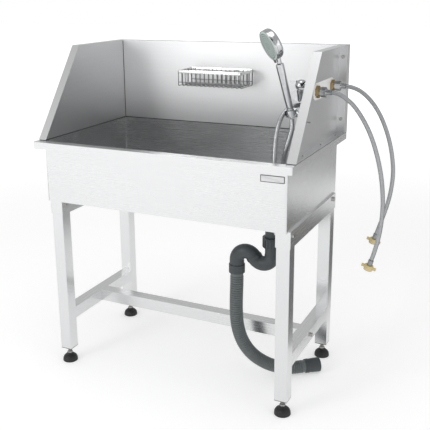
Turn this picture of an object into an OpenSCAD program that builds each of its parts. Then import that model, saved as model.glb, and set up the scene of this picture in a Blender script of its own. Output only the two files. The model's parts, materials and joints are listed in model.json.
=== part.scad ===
// Pet bathtub: a stainless basin on a bolted leg frame, with three tray-folded
// splash panels, a mixer tap with a hand shower, and a trapped waste hose.
// The floor is z = 0, +X is to the bather's right, and the open front faces -Y.

/* [Tub] */
// Width over the rim
tub_w = 850; // [700:10:1100]
// Depth over the rim, front to back
tub_d = 530; // [480:10:700]
// Height of the rim's top above the floor
rim_z = 775; // [700:5:950]
// Depth of the basin under the rim's top
basin_h = 195; // [120:5:210]
// Drop of the rim's turned-down lip
rim_drop = 22; // [15:1:40]
// How far the rim stands out from the basin's side walls
rim_side = 22.5; // [20:0.5:40]
// How far the rim stands out from the front and back walls
rim_end = 27; // [22:0.5:45]
// Width of the rim lip's inward hem
rim_hem = 8; // [4:1:12]
// Thickness of the tub's sheet
sheet = 1.5; // [1:0.1:2.5]
// Radius of the basin's upright corners
corner_r = 6; // [3:1:20]

/* [Splash panels] */
// Height of the panels above the rim
panel_h = 280; // [180:10:400]
// Thickness of the panels' sheet
panel_t = 1.2; // [0.8:0.1:2]
// Width of the panels' folded edges
fold_w = 27; // [24:0.5:32]
// How far each side panel's foot stays behind the rim's front edge
panel_foot = 30; // [20:5:80]
// How far each side panel's top stays behind the rim's front edge
panel_top = 233; // [120:1:300]
// Thickness of the sealing strip under the panels
seal_t = 1.5; // [1:0.5:3]

/* [Stand] */
// Width of the square legs
leg_w = 40; // [30:1:50]
// Wall of the square tubes
tube_t = 1.5; // [1:0.1:3]
// How far the support rails stand out from the basin's side walls
rail_out = 6; // [0:0.5:12]
// How far the support rails' ends stay inside the basin's front and back walls
rail_inset = 18.5; // [0:0.5:40]
// Height of the legs' lower ends above the floor
leg_z = 52; // [46:1:70]
// Height of the lower rails' underside above the floor
low_rail_z = 152; // [100:2:300]
// Height of the support rails under the basin
rail_h = 50; // [40:1:60]
// Wall of the support rails
rail_t = 1.5; // [1:0.1:3]
// Gap between a leg and the support rail around it
rail_gap = 1; // [0.5:0.1:2]

/* [Feet] */
// Diameter of the foot pads
pad_d = 50; // [35:1:60]
// Height of the foot pads
pad_h = 28; // [15:1:32]
// Diameter of the feet's threaded studs
stud_d = 12; // [8:1:16]

/* [Basket] */
// Width of the wire basket
basket_w = 230; // [150:5:350]
// Depth of the wire basket
basket_d = 100; // [70:5:120]
// Height of the wire basket
basket_h = 54; // [40:1:80]
// Diameter of the basket's wires
wire_d = 3; // [2:0.5:4]
// Spaces between wires along the front
basket_bays = 14; // [8:1:18]

/* [Tap] */
// Distance between the two supply inlets
inlet_gap = 150; // [130:5:160]
// How far the tap's centre stands in front of the side panels' back edges
tap_back = 160; // [120:5:220]
// Height of the tap's body above the rim
tap_h = 151; // [100:1:170]
// Rise from the tap's body to the supply inlets
inlet_rise = 12; // [0:1:15]
// Distance of the tap's body from the panel
tap_reach = 46; // [40:1:70]
// Diameter of the tap's body
tap_d = 38; // [32:1:46]

/* [Hand shower] */
// Length of the hand shower's handle
handle_l = 132; // [100:5:160]
// Diameter of the handle at its top
handle_d = 23; // [18:1:28]
// Diameter of the shower head
head_d = 90; // [80:2:130]
// Thickness of the shower head
head_t = 26; // [18:1:36]

/* [Waste] */
// Diameter of the waste pipe
waste_d = 45; // [38:1:50]
// Distance of the outlet from the right support rail's inner face
drain_side = 52; // [52:1:160]
// Distance of the outlet from the basin's front wall
drain_front = 138; // [80:1:240]
// Distance across the trap, from its inlet to its outlet
trap_reach = 115.5; // [112:0.5:120]
// Radius of the trap's bends
bend_r = 31; // [29:0.5:34]
// Diameter of the waste hose
waste_hose_d = 42; // [36:1:44]

/* [Hoses] */
// Diameter of the braided supply hoses
supply_d = 12.5; // [10:0.5:14]
// Diameter of the shower hose
shower_d = 14; // [12:0.5:16]

/* [Hidden] */
$fn = 48;
fit = 0.3;
steel = "silver";
chrome = "gainsboro";

// Basin: inner and outer faces of its walls.
wall_x = tub_w / 2 - rim_side;
wall_y = tub_d / 2 - rim_end;
basin_z = rim_z - basin_h;

// Panels: trays whose webs stand just inside the basin's wall faces.
panel_z = rim_z + seal_t;
panel_top_z = rim_z + panel_h;
panel_x = tub_w / 2 - fold_w;
panel_y = tub_d / 2 - fold_w - 2;
foot_y = panel_foot - tub_d / 2;
top_y = panel_top - tub_d / 2;
bolt_z = [panel_z + 45, panel_top_z - 37];

// Stand.
rail_w = leg_w + 2 * rail_gap + 2 * rail_t;
leg_x = wall_x + rail_out - rail_w / 2;
leg_y = wall_y - rail_inset - rail_w / 2;
leg_gap_x = 2 * leg_x;
leg_gap_y = 2 * leg_y;
leg_top_z = basin_z - rail_t - 4;
leg_places = [[-1, -1], [1, -1], [-1, 1], [1, 1]];
rail_l = leg_gap_y + rail_w;
rail_z = basin_z - rail_h;
m8 = 4;
rail_bolt_z = basin_z - 14;
rail_bolt_dy = -6;
low_mid_z = low_rail_z + leg_w / 2;

// Feet.
insert_h = 22;
insert_lip = 2;
nut_h = 7;
pad_seat = 6;
pad_neck_r = 10;
stud_l = 92;
collar_l = 5;

// Basket on the back panel's face.
basket_x = -8;
band_t = 2;
basket_bay = (basket_w - 2 * band_t) / basket_bays;
screw_bay = floor(basket_bays / 4) + 0.5;
basket_screws = [for (i = [screw_bay, basket_bays - screw_bay]) basket_x + (i - basket_bays / 2) * basket_bay];
side_bays = 4;
basket_top_z = panel_z + 191;
band_h = 10;

// Tap on the right panel.
tap_y = panel_y - tap_back;
tap_z = rim_z + tap_h;
tap_x = panel_x - tap_reach;
tap_l = inlet_gap + 26;
inlet_z = tap_z + inlet_rise;
inlet_r = 10.5;
inlet_ys = [tap_y - inlet_gap / 2, tap_y + inlet_gap / 2];
panel_out_x = panel_x + panel_t;
plate_t = 3;
brass_x = panel_out_x + plate_t;
brass_h = 9;
swivel_x = brass_x + brass_h + 4;
swivel_l = 16;
ferrule_x = swivel_x + swivel_l;
cartridge_up = 40;
cartridge_out = tap_d * 0.75;
cartridge_dir = [-cos(cartridge_up), 0, sin(cartridge_up)];
lever_at = [tap_x, tap_y, tap_z] + cartridge_out * cartridge_dir;
dome_r = 18;
dome_t = 2.5;
boss_r = 11;
ball_r = 8;
dome_low = 1;
lever_reach = 33;
union_x = panel_x - 22;
hub_r = 9;
hub_l = 9;
stem_r = 7;
run = 0.05;
elbow_r = 9;
elbow_z = tap_z - tap_d / 2 - 15;
elbow_y = tap_y - 22;
mixer_nut_y = 24;

// Hand shower: its own frame has +Z up the handle and +X towards the spray.
shower_at = [panel_x - 54.4, tap_y - 138, rim_z + 121.6];
shower_turn = 225;
shower_lean = 15;
face_tip = 10;
cone_h = 30;
cone_r = 11;
holder_r = 17;
neck_l = 24;
neck_r = 6.5;
holder_screw = [panel_x, tap_y - 149, rim_z + 86];
head_up = 57.2;
head_out = 21.7;
face_t = 3.2;

// Waste outlet in the basin's floor.
drain_x = leg_x - rail_w / 2 - drain_side;
drain_y = drain_front - wall_y;
drain_hole_r = 26;
dish_r = 48;
dish_h = 4;
dish_z = basin_z + sheet - dish_h;
pipe_r = waste_d / 2;
pipe_t = 2.5;
body_r = pipe_r + 2.5;
bend_turn = acos((trap_reach - 2 * bend_r) / (2 * bend_r));
bend_x = drain_x - bend_r;
bend_z = basin_z - 122;
arch_x = bend_x - 2 * bend_r * cos(bend_turn);
arch_z = bend_z - 2 * bend_r * sin(bend_turn);
collar_x = arch_x - bend_r;
collar_z = basin_z - 194;
collar_h = 26;
cuff_l = 50;
tail_l = 16;
nut_bore_r = 10;
wing_h = 16;
wing_w = 44;
wing_t = 6;
joint_z = basin_z - 80;

// Hose routes, along the middle of each hose.
waste_route = [
    [196, -100, 386], [196, -101, 345], [195, -102, 300], [195, -102, 255], [197, -99, 212],
    [204, -92, 170], [216, -80, 132], [233, -63, 98], [254, -41, 69], [279, -17, 46],
    [308, 8, 31], [339, 33, 24], [370, 58, 24]
];
shower_route = [
    [352, 24, 892], [350, 8, 895], [345, -8, 896], [337, -24, 894], [328, -40, 887],
    [320, -57, 873], [316, -73, 853], [315, -89, 827], [317, -105, 797], [321, -120, 766],
    [324, -134, 733], [322, -147, 700], [315, -157, 668], [300, -163, 639], [277, -167, 616],
    [245, -168, 600], [205, -165, 591], [160, -158, 589], [112, -148, 589], [62, -133, 589],
    [15, -110, 589], [-25, -78, 589], [-45, -35, 589], [-38, 12, 589], [-8, 48, 589],
    [38, 70, 589], [90, 76, 589], [142, 72, 589], [192, 62, 590], [236, 46, 597],
    [272, 22, 613], [299, -8, 638], [316, -40, 670], [327, -66, 705], [334, -80, 742],
    [341, -83, 778], [348, -76, 810], [352, -65, 840], [349, -57, 864]
];
front_route = [
    [446, 1, 938], [466, 1, 935], [490, 1, 922], [514, 1, 901], [536, 1, 872],
    [556, 1, 838], [573, 1, 799], [587, 1, 756], [598, 1, 710], [605, 1, 662],
    [608, 1, 614], [606, 1, 566], [600, 1, 519], [590, 1, 474], [583, 1, 450]
];
back_route = [
    [446, 151, 938], [466, 151, 935], [490, 151, 926], [514, 151, 908], [536, 151, 884],
    [556, 151, 853], [573, 151, 816], [587, 151, 775], [597, 151, 730], [602, 151, 684],
    [600, 151, 638], [593, 151, 593], [582, 151, 550], [570, 151, 510], [561, 151, 481]
];
ferrule_l = front_route[0][0] - ferrule_x;

// Solid rectangle with round corners, middle at the origin.
module plate(w, d, h, r) {
    linear_extrude(h) {
        square([w - 2 * r, d], center = true);
        square([w, d - 2 * r], center = true);
        for (x = [-1, 1], y = [-1, 1])
            translate([x * (w / 2 - r), y * (d / 2 - r)]) circle(r);
    }
}

// Square tube along Z, with its lower end at z = 0.
module tube(l, w, t) {
    difference() {
        translate([-w / 2, -w / 2, 0]) cube([w, w, l]);
        translate([-w / 2 + t, -w / 2 + t, -1]) cube([w - 2 * t, w - 2 * t, l + 2]);
    }
}

// Cylinder along +X from x = 0.
module rod_x(l, r) {
    rotate([0, 90, 0]) cylinder(h = l, r = r);
}

// Cylinder along +Y from y = 0.
module rod_y(l, r) {
    rotate([-90, 0, 0]) cylinder(h = l, r = r);
}

// Hexagon prism along Z, given by its distance across flats.
module hex(l, flats) {
    cylinder(h = l, r = flats / sqrt(3), $fn = 6);
}

function unit(v) = v / norm(v);
function heading(p, i) = unit(p[min(i + 1, len(p) - 1)] - p[max(i - 1, 0)]);
function level(h) = abs(h[2]) > 0.999 ? [0, 1, 0] : unit(cross([0, 0, 1], h));
// Side direction at each point, carried along so that the tube doesn't twist.
function carried(p, i, s) =
    let (h = heading(p, i), flat = s - (s * h) * h)
    i == len(p) - 1 ? [unit(flat)] : concat([unit(flat)], carried(p, i + 1, unit(flat)));
// Flexible tube of diameter d with its middle along the points p.
module hose(p, d, sides) {
    side = carried(p, 0, level(heading(p, 0)));
    rings = [for (i = [0:len(p) - 1])
        let (h = heading(p, i), up = cross(h, side[i]))
        for (k = [0:sides - 1])
            p[i] + d / 2 * (cos(360 * k / sides) * side[i] + sin(360 * k / sides) * up)];
    last = (len(p) - 1) * sides;
    skin = [for (i = [0:len(p) - 2], k = [0:sides - 1])
        let (a = i * sides + k, b = i * sides + (k + 1) % sides)
        each [[a, b + sides, b], [a, a + sides, b + sides]]];
    ends = [[for (k = [0:sides - 1]) k], [for (k = [sides - 1:-1:0]) last + k]];
    polyhedron(points = rings, faces = concat(ends, skin), convexity = 10);
}

// Basin with its walls, flat rim, turned-down lip and hem, and a pressed dish for the outlet.
module tub_basin() {
    color(steel) difference() {
        union() {
            difference() {
                union() {
                    translate([0, 0, basin_z]) plate(2 * wall_x, 2 * wall_y, basin_h, corner_r);
                    translate([0, 0, rim_z - rim_drop]) plate(tub_w, tub_d, rim_drop, 4);
                }
                difference() {
                    translate([0, 0, rim_z - rim_drop + sheet])
                        plate(tub_w - 2 * sheet, tub_d - 2 * sheet, rim_drop - 2 * sheet, 2.5);
                    translate([0, 0, basin_z]) plate(2 * wall_x, 2 * wall_y, basin_h, corner_r);
                }
                difference() {
                    translate([0, 0, rim_z - rim_drop - 1])
                        plate(tub_w - 2 * rim_hem, tub_d - 2 * rim_hem, sheet + 2, 1);
                    translate([0, 0, basin_z]) plate(2 * wall_x, 2 * wall_y, basin_h, corner_r);
                }
                translate([0, 0, basin_z + sheet])
                    plate(2 * (wall_x - sheet), 2 * (wall_y - sheet), basin_h, corner_r - sheet);
            }
            translate([drain_x, drain_y, dish_z - sheet]) cylinder(h = dish_h + sheet, r = dish_r + sheet);
        }
        translate([drain_x, drain_y, dish_z]) cylinder(h = dish_h + 1, r = dish_r);
        translate([drain_x, drain_y, dish_z - sheet - 1]) cylinder(h = sheet + 2, r = drain_hole_r);
        for (p = screw_places) translate([p[0], p[1], rim_z - sheet - 1]) cylinder(h = sheet + 2, r = 2.1);
    }
}

// Places of the self-tapping screws that hold the panels down through the rim.
screw_places = [
    for (x = [-1, 1], y = [-0.6, 0.1, 0.75]) [x * (panel_x + fold_w / 2), y * panel_y],
    for (x = [-0.7, 0, 0.7]) [x * panel_x, panel_y + fold_w / 2]
];

// Outline of a side panel's web in (y, z): foot, top, back top, back foot.
web = [[foot_y, panel_z], [top_y, panel_top_z], [panel_y, panel_top_z], [panel_y, panel_z]];
slope = norm(web[1] - web[0]) / panel_h;
lean = (top_y - foot_y) / panel_h;
inner_web = [
    [foot_y + panel_t * (slope + lean), panel_z + panel_t],
    [top_y + panel_t * (slope - lean), panel_top_z - panel_t],
    [panel_y - panel_t, panel_top_z - panel_t],
    [panel_y - panel_t, panel_z + panel_t]
];

// Side panel on the right: a web with its edges folded outwards.
module side_panel() {
    difference() {
        translate([panel_x, 0, 0]) rotate([90, 0, 90]) linear_extrude(fold_w) polygon(web);
        translate([panel_x + panel_t, 0, 0]) rotate([90, 0, 90]) linear_extrude(fold_w) polygon(inner_web);
        for (z = bolt_z) translate([panel_x + fold_w / 2, panel_y - 5, z]) rod_y(10, 3.2);
        for (p = screw_places) if (p[0] > panel_x && p[1] < panel_y)
            translate([p[0], p[1], panel_z - 1]) cylinder(h = 5, r = 2);
    }
}

module right_panel() {
    color(steel) difference() {
        side_panel();
        for (y = inlet_ys) translate([panel_x - 1, y, inlet_z]) rod_x(4, inlet_r + 0.5);
        translate(holder_screw - [1, 0, 0]) rod_x(4, 2);
    }
}

module left_panel() {
    color(steel) mirror([1, 0, 0]) side_panel();
}

// Back panel: a web with its four edges folded backwards.
module back_panel() {
    color(steel) difference() {
        translate([-tub_w / 2, panel_y, panel_z]) cube([tub_w, fold_w + 1, panel_top_z - panel_z]);
        translate([-tub_w / 2 + panel_t, panel_y + panel_t, panel_z + panel_t])
            cube([tub_w - 2 * panel_t, fold_w + 1, panel_top_z - panel_z - 2 * panel_t]);
        for (x = [-1, 1], z = bolt_z)
            translate([x * (panel_x + fold_w / 2), panel_y - 5, z]) rod_y(10, 3.2);
        for (x = basket_screws) translate([x, panel_y - 5, basket_top_z - band_h / 2]) rod_y(10, 2);
        for (p = screw_places) if (p[1] > panel_y)
            translate([p[0], p[1], panel_z - 1]) cylinder(h = 5, r = 2);
    }
}

// Bolts and nuts that hold the side panels' back folds to the back panel.
module panel_bolts() {
    color(chrome) for (x = [-1, 1], z = bolt_z) translate([x * (panel_x + fold_w / 2), panel_y - panel_t, z]) {
        translate([0, -4, 0]) rod_y(4, 5.5);
        rod_y(2 * panel_t + 10, 3);
        translate([0, 2 * panel_t, 0]) rotate([-90, 0, 0]) difference() {
            hex(5, 10);
            translate([0, 0, -1]) cylinder(h = 7, r = 3);
        }
    }
}

// Self-tapping screws: under the rim, through the basket's back band, and through the shower holder.
module panel_screws() {
    color(chrome) {
        for (p = screw_places) translate([p[0], p[1], rim_z - sheet]) {
            cylinder(h = sheet + seal_t + panel_t + 4, r = 2);
            translate([0, 0, -2.4]) cylinder(h = 2.4, r = 4);
        }
        for (x = basket_screws) translate([x, panel_y - band_t, basket_top_z - band_h / 2]) {
            rod_y(band_t + panel_t + 6, 2);
            translate([0, -2, 0]) rod_y(2, 3.8);
        }
        translate(holder_screw - [3, 0, 0]) {
            rod_x(3 + panel_t + 10, 2);
            translate([-2.5, 0, 0]) rod_x(2.5, 4);
        }
    }
}

// Sealing strips between the panels' lower folds and the rim.
module panel_seals() {
    color("dimgray") difference() {
        union() {
            for (x = [-1, 1]) translate([x * (panel_x + fold_w / 2), 0, rim_z])
                translate([-fold_w / 2 + 1, foot_y + 2, 0]) cube([fold_w - 2, panel_y - foot_y - 2, seal_t]);
            translate([-tub_w / 2 + 1, panel_y, rim_z]) cube([tub_w - 2, fold_w, seal_t]);
        }
        for (p = screw_places) translate([p[0], p[1], rim_z - 1]) cylinder(h = seal_t + 2, r = 2);
    }
}

// Blank plate on the front wall.
module name_plate() {
    color("white") translate([wall_x - 77.5, -wall_y, rim_z - 54]) rotate([90, 0, 0])
        translate([35, 10, 0]) plate(70, 20, 1.2, 1.5);
}

// Inverted channel under the basin, closed at its ends, that the legs' tops stand in.
module support_rail(side) {
    color(steel) difference() {
        translate([side * leg_x - rail_w / 2, -rail_l / 2, rail_z]) cube([rail_w, rail_l, rail_h]);
        translate([side * leg_x - rail_w / 2 + rail_t, -rail_l / 2 + rail_t, rail_z - 1])
            cube([rail_w - 2 * rail_t, rail_l - 2 * rail_t, rail_h + 1 - rail_t]);
        for (y = [-leg_y, leg_y])
            translate([side * leg_x - rail_w, y + rail_bolt_dy, rail_bolt_z]) rod_x(2 * rail_w, m8 + 0.2);
    }
}

module left_support_rail() {
    support_rail(-1);
}

module right_support_rail() {
    support_rail(1);
}

// Leg with a cross hole for its rail bolt, and one in its inner wall for the lower rail's bolt.
module leg(p) {
    color(steel) translate([p[0] * leg_x, p[1] * leg_y, 0]) difference() {
        translate([0, 0, leg_z]) tube(leg_top_z - leg_z, leg_w, tube_t);
        translate([-leg_w, rail_bolt_dy, rail_bolt_z]) rod_x(2 * leg_w, m8 + 0.2);
        translate([0, -p[1] * leg_w / 2, low_mid_z]) translate([0, -leg_w / 4, 0]) rod_y(leg_w / 2, m8 + 0.2);
    }
}

module leg_front_left() {
    leg(leg_places[0]);
}

module leg_front_right() {
    leg(leg_places[1]);
}

module leg_back_left() {
    leg(leg_places[2]);
}

module leg_back_right() {
    leg(leg_places[3]);
}

// Square tube along Y with end plates that are tapped for bolts.
end_plate = 4;
module closed_tube(l, cross_y) {
    difference() {
        translate([-leg_w / 2, -l / 2, -leg_w / 2]) cube([leg_w, l, leg_w]);
        translate([-leg_w / 2 + tube_t, -l / 2 + end_plate, -leg_w / 2 + tube_t])
            cube([leg_w - 2 * tube_t, l - 2 * end_plate, leg_w - 2 * tube_t]);
        for (y = [-l / 2 - 1, l / 2 - end_plate - 1]) translate([0, y, 0]) rod_y(end_plate + 2, m8);
        for (y = cross_y) translate([-leg_w, y, 0]) rod_x(2 * leg_w, m8 + 0.2);
    }
}

lower_rail_l = leg_gap_y - leg_w;
module lower_rail(side) {
    color(steel) translate([side * leg_x, 0, low_mid_z]) closed_tube(lower_rail_l, [0]);
}

module left_lower_rail() {
    lower_rail(-1);
}

module right_lower_rail() {
    lower_rail(1);
}

stretcher_l = leg_gap_x - leg_w;
module stretcher() {
    color(steel) translate([0, 0, low_mid_z]) rotate([0, 0, 90]) closed_tube(stretcher_l, []);
}

// Bolt along +X: hexagon head at x = 0 with a shank of length l behind it.
module bolt_x(l) {
    rod_x(l, m8);
    rotate([0, -90, 0]) hex(5.5, 13);
}

// Bolts with nuts through the support rails and legs, bolts of the stretcher, and bolts of the lower rails.
module frame_bolts() {
    color(chrome) {
        for (p = leg_places) translate([p[0] * leg_x, p[1] * leg_y + rail_bolt_dy, rail_bolt_z]) {
            mirror([p[0] > 0 ? 1 : 0, 0, 0]) translate([-rail_w / 2, 0, 0]) bolt_x(rail_w + 9);
            mirror([p[0] > 0 ? 1 : 0, 0, 0]) translate([rail_w / 2, 0, 0]) rotate([0, 90, 0]) difference() {
                hex(6.5, 13);
                translate([0, 0, -1]) cylinder(h = 9, r = m8);
            }
        }
        for (side = [-1, 1]) translate([side * (leg_x + leg_w / 2), 0, low_mid_z])
            mirror([side > 0 ? 1 : 0, 0, 0]) bolt_x(leg_w + end_plate + 6);
        for (p = leg_places) translate([p[0] * leg_x, p[1] * (leg_y - leg_w / 2 + tube_t), low_mid_z])
            rotate([0, 0, -90 * p[1]]) bolt_x(tube_t + end_plate + 8);
    }
}

// Plastic plugs in the legs' lower ends, tapped for the feet.
module leg_inserts() {
    color("dimgray") for (p = leg_places) translate([p[0] * leg_x, p[1] * leg_y, leg_z]) difference() {
        union() {
            translate([0, 0, -insert_lip / 2]) cube([leg_w, leg_w, insert_lip], center = true);
            translate([0, 0, insert_h / 2]) cube([leg_w - 2 * tube_t, leg_w - 2 * tube_t, insert_h], center = true);
        }
        translate([0, 0, -insert_lip - 1]) cylinder(h = insert_h + insert_lip + 2, r = stud_d / 2 + run);
    }
}

module foot_lock_nuts() {
    color(chrome) for (p = leg_places)
        translate([p[0] * leg_x, p[1] * leg_y, leg_z - insert_lip - nut_h]) difference() {
            hex(nut_h, stud_d * 1.5);
            translate([0, 0, -1]) cylinder(h = nut_h + 2, r = stud_d / 2 + run);
        }
}

// Threaded stud with a hexagon collar that sits on its pad.
module stud(p) {
    color(chrome) translate([p[0] * leg_x, p[1] * leg_y, 0]) {
        translate([0, 0, pad_seat]) cylinder(h = stud_l, r = stud_d / 2);
        translate([0, 0, pad_h]) hex(collar_l, stud_d * 1.4);
    }
}

// Domed pad with a flat underside and a socket for the stud.
module pad(p) {
    color([0.09, 0.09, 0.1]) translate([p[0] * leg_x, p[1] * leg_y, 0]) rotate_extrude($fn = 64) difference() {
        union() {
            square([pad_d / 2, 5]);
            intersection() {
                translate([0, -1]) scale([1, 1]) circle(pad_d / 2 + 0.5, $fn = 96);
                translate([0, 5]) square([pad_d / 2, pad_h - 12]);
            }
            translate([0, 5]) square([pad_neck_r, pad_h - 5]);
        }
        translate([0, pad_seat]) square([stud_d / 2, pad_h]);
        translate([-pad_d, -pad_d]) square([pad_d, 4 * pad_d]);
    }
}

module stud_front_left() {
    stud(leg_places[0]);
}

module stud_front_right() {
    stud(leg_places[1]);
}

module stud_back_left() {
    stud(leg_places[2]);
}

module stud_back_right() {
    stud(leg_places[3]);
}

module pad_front_left() {
    pad(leg_places[0]);
}

module pad_front_right() {
    pad(leg_places[1]);
}

module pad_back_left() {
    pad(leg_places[2]);
}

module pad_back_right() {
    pad(leg_places[3]);
}

// Basket of bent wires hung from a flat band that is screwed to the back panel.
module wire_basket() {
    wire_r = wire_d / 2;
    low = basket_top_z - basket_h + wire_r;
    front = panel_y - basket_d;
    left = basket_x - basket_w / 2;
    color(steel) union() {
        translate([left, front, basket_top_z - band_h]) difference() {
            cube([basket_w, basket_d, band_h]);
            translate([band_t, band_t, -1]) cube([basket_w - 2 * band_t, basket_d - 2 * band_t, band_h + 2]);
            for (x = basket_screws) translate([x - left, basket_d - 5, band_h / 2]) rod_y(10, 2);
        }
        for (i = [0:basket_bays]) translate([left + band_t + i * basket_bay, 0, 0]) {
            for (y = [front + wire_r, panel_y - wire_r]) translate([0, y, low])
                cylinder(h = basket_h - 4, r = wire_r);
            translate([0, front + wire_r, low]) rod_y(basket_d - wire_d, wire_r);
        }
        for (j = [1:side_bays - 1]) translate([0, front + j * basket_d / side_bays, low]) {
            for (x = [left + wire_r, left + basket_w - wire_r]) translate([x, 0, wire_d])
                cylinder(h = basket_h - 7, r = wire_r);
            translate([left + wire_r, 0, wire_d * 0.8]) rod_x(basket_w - wire_d, wire_r);
        }
    }
}

// Tap body: a bar between the two inlets with a boss for the cartridge and an outlet below.
module mixer_body() {
    color(chrome) difference() {
        union() {
            translate([tap_x, tap_y - tap_l / 2, tap_z]) {
                translate([0, 3, 0]) rod_y(tap_l - 6, tap_d / 2);
                rod_y(tap_l, tap_d / 2 - 3);
            }
            for (y = inlet_ys) translate([tap_x, y, tap_z]) rod_x(union_x - tap_x, 12);
            translate([tap_x, tap_y, tap_z]) rotate([0, cartridge_up - 90, 0])
                cylinder(h = cartridge_out - 5.5, r = boss_r);
            translate([tap_x, tap_y, elbow_z + 13]) cylinder(h = tap_d / 2, r = 12);
        }
        translate([tap_x, tap_y, tap_z]) rotate([0, cartridge_up - 90, 0])
            translate([0, 0, 8]) cylinder(h = cartridge_out, r = stem_r + run);
        translate([tap_x, tap_y, tap_z]) rotate([0, cartridge_up - 90, 0])
            translate([0, 0, cartridge_out - 9]) cylinder(h = 20, r = ball_r + 1);
        translate([tap_x, tap_y, elbow_z + 12]) cylinder(h = 14, r = elbow_r - 1);
    }
}

// Union nuts between the tap and its inlet tails.
module union_nuts() {
    color(chrome) for (y = inlet_ys) translate([union_x, y, tap_z]) rotate([0, 90, 0]) hex(14, 30);
}

// Offset inlet tails with their rosettes, passing through the panel.
module mixer_inlets() {
    color(chrome) for (y = inlet_ys) {
        translate([panel_x - 7, y, inlet_z]) rod_x(7, 24);
        translate([panel_x - 7, y, inlet_z]) rod_x(swivel_x + 8 - panel_x + 7, inlet_r);
        translate([union_x + 14, y, tap_z]) rod_x(panel_x - 7 - union_x - 14, 9);
    }
}

module backing_plate() {
    color("white") difference() {
        hull() for (y = inlet_ys) translate([panel_out_x, y, inlet_z]) rod_x(plate_t, 25, $fn = 32);
        for (y = inlet_ys) translate([panel_out_x - 1, y, inlet_z]) rod_x(plate_t + 2, inlet_r);
    }
}

module brass_lock_nuts() {
    color([0.75, 0.6, 0.3]) for (y = inlet_ys) translate([brass_x, y, inlet_z]) rotate([0, 90, 0]) difference() {
        hex(brass_h, 32);
        translate([0, 0, -1]) cylinder(h = brass_h + 2, r = inlet_r);
    }
}

// Turning stem of the cartridge, with a ball and a cross pin that the lever tilts on.
module cartridge_stem() {
    color("gray") translate([tap_x, tap_y, tap_z]) rotate([0, cartridge_up - 90, 0]) {
        translate([0, 0, 9]) cylinder(h = cartridge_out - 9, r = stem_r);
        translate([0, 0, cartridge_out]) sphere(ball_r);
        translate([0, -13, cartridge_out]) rod_y(26, 2);
    }
}

// Hollow dome around the cartridge with its arm.
module mixer_lever() {
    color(chrome) translate(lever_at) difference() {
        union() {
            rotate([0, cartridge_up - 90, 0]) rotate_extrude() difference() {
                circle(dome_r);
                circle(dome_r - dome_t);
                translate([-2 * dome_r, -2 * dome_r]) square([2 * dome_r, 4 * dome_r]);
                translate([0, -2 * dome_r]) square([2 * dome_r, 2 * dome_r - dome_low]);
            }
            for (y = [-1, 1]) translate([0, y > 0 ? 9 : -16.5, 0]) rod_y(7.5, 4);
            translate([-lever_reach, -8, 5]) cube([lever_reach - dome_r + 4, 16, 9]);
        }
        for (y = [-14, 8]) translate([0, y, 0]) rod_y(6, 2 + run);
        translate([-lever_reach - 1, -5, 3]) cube([lever_reach - dome_r - 4, 10, 8]);
    }
}

// Elbow below the tap that turns the shower outlet to the front.
module outlet_elbow() {
    color(chrome) translate([tap_x, 0, elbow_z]) {
        translate([0, tap_y, 0]) cylinder(h = 13, r = elbow_r);
        translate([0, tap_y, 0]) sphere(elbow_r);
        translate([0, elbow_y, 0]) rod_y(tap_y - elbow_y, elbow_r);
        translate([0, elbow_y - 10, 0]) rod_y(10, elbow_r - 2);
    }
}

// Puts its children in the hand shower's frame.
module at_shower() {
    translate(shower_at) rotate([0, shower_lean, shower_turn]) children();
}

// Wall holder: a slotted cone ring on an arm, fixed by one screw.
module shower_holder() {
    color(chrome) difference() {
        union() {
            at_shower() translate([0, 0, -26]) cylinder(h = 20, r = holder_r);
            translate([panel_x - 6, holder_screw[1], holder_screw[2]]) rod_x(6, 16);
            hull() {
                at_shower() translate([-holder_r + 3, 0, -22]) cylinder(h = 12, r = 5, $fn = 32);
                translate([panel_x - 8, holder_screw[1], holder_screw[2]]) rod_x(4, 9, $fn = 32);
            }
        }
        at_shower() translate([0, 0, -30]) cylinder(h = cone_h, r1 = cone_r - 3 + fit, r2 = cone_r + fit);
        at_shower() translate([0, -8, -30]) cube([30, 16, 30]);
        translate(holder_screw - [3, 0, 0]) rod_x(4, 2);
        translate(holder_screw - [26, 0, 0]) rod_x(23, 4.4);
    }
}

// Handle with its thin neck.
module handset_handle() {
    color(chrome) at_shower() {
        rotate_extrude() polygon([
            [0, 0], [handle_d / 2 - 2, 0], [handle_d / 2 - 1.5, 3], [handle_d / 2, handle_l - 3],
            [handle_d / 2 - 1, handle_l], [0, handle_l]
        ]);
        translate([0, 0, handle_l]) cylinder(h = neck_l, r = neck_r);
    }
}

// Puts its children on the head's axis: +Z is the way the water leaves.
module at_face() {
    at_shower() translate([head_out, 0, handle_l + head_up]) rotate([0, 90 + face_tip, 0]) children();
}

// Head with a bearing for the spray plate's hub and a socket for the handle's neck.
module handset_head() {
    color(chrome) difference() {
        at_face() rotate_extrude($fn = 72) polygon([
            [0, -head_t], [head_d / 2 - 10, -head_t], [head_d / 2 - 3, -head_t + 4], [head_d / 2, -head_t + 11],
            [head_d / 2, -face_t - 1], [head_d / 2 - 1, -face_t], [hub_r, -face_t],
            [hub_r, -face_t - hub_l], [0, -face_t - hub_l]
        ]);
        at_shower() translate([0, 0, handle_l]) cylinder(h = neck_l, r = neck_r);
    }
}

// Turning spray plate with its hub, its nozzles and the tab that turns it.
module spray_plate() {
    color("honeydew") at_face() {
        translate([0, 0, fit - face_t]) cylinder(h = face_t, r = head_d / 2 - 2);
        translate([0, 0, 1 - face_t - hub_l]) cylinder(h = hub_l, r = hub_r - run);
        for (r = [10:8:head_d / 2 - 6], a = [0:2880 / r:359]) rotate([0, 0, a]) translate([r, 0, fit])
            cylinder(h = 1.4, r = 1.3, $fn = 13);
        translate([head_d / 2 - 8, -5, fit - face_t]) cube([15, 10, face_t]);
    }
}

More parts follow.
